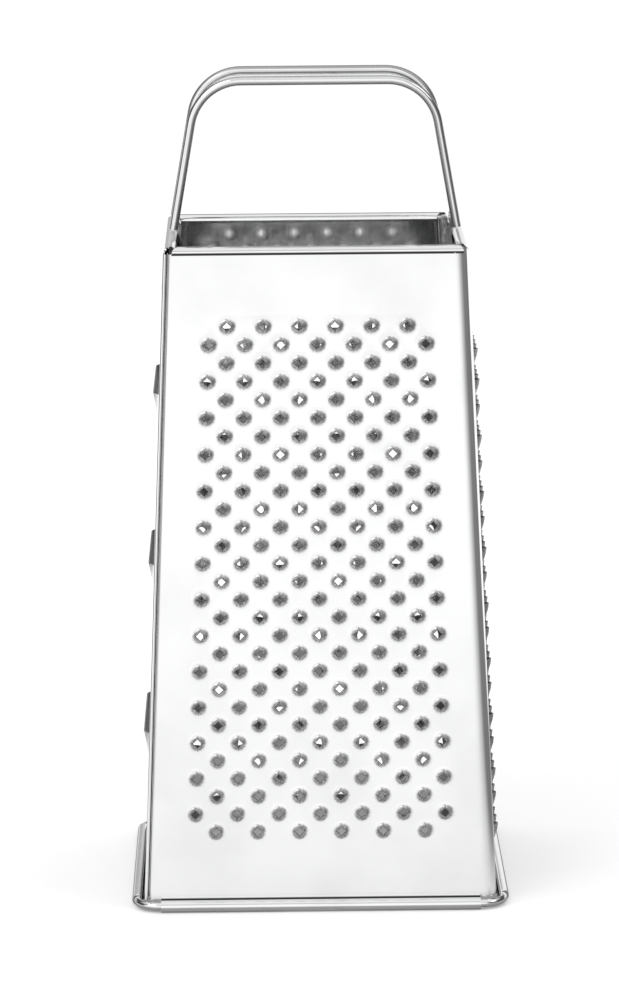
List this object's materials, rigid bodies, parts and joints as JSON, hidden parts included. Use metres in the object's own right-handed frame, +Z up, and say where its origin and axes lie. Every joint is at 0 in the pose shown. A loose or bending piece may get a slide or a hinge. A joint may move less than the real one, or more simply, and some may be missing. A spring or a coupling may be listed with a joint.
{
  "type": "grater",
  "caption": "Free-standing box grater of polished sheet steel with rasp, shredder and slicer sides, a wire-stiffened foot and a riveted strap handle.",
  "frame": {"origin": "on the floor under the middle of the foot", "axes": "+Z up along the body to the handle, -Y out of the rasp side, +X out of the coarse shredder side"},
  "size_m": [0.1054, 0.0844, 0.2291],
  "materials": {
    "panel_steel": "polished stainless sheet with faint grain",
    "wire_steel": "bright drawn wire",
    "handle_steel": "polished stainless strap",
    "rivet_steel": "bright rivet heads"
  },
  "bodies": {
    "root": {"front_panel": "panel_steel", "right_panel": "panel_steel", "back_panel": "panel_steel", "left_panel": "panel_steel", "base_wire": "wire_steel", "handle_strap": "handle_steel", "rivet_left_front": "rivet_steel", "rivet_left_back": "rivet_steel", "rivet_right_front": "rivet_steel", "rivet_right_back": "rivet_steel"}
  },
  "joints": []
}
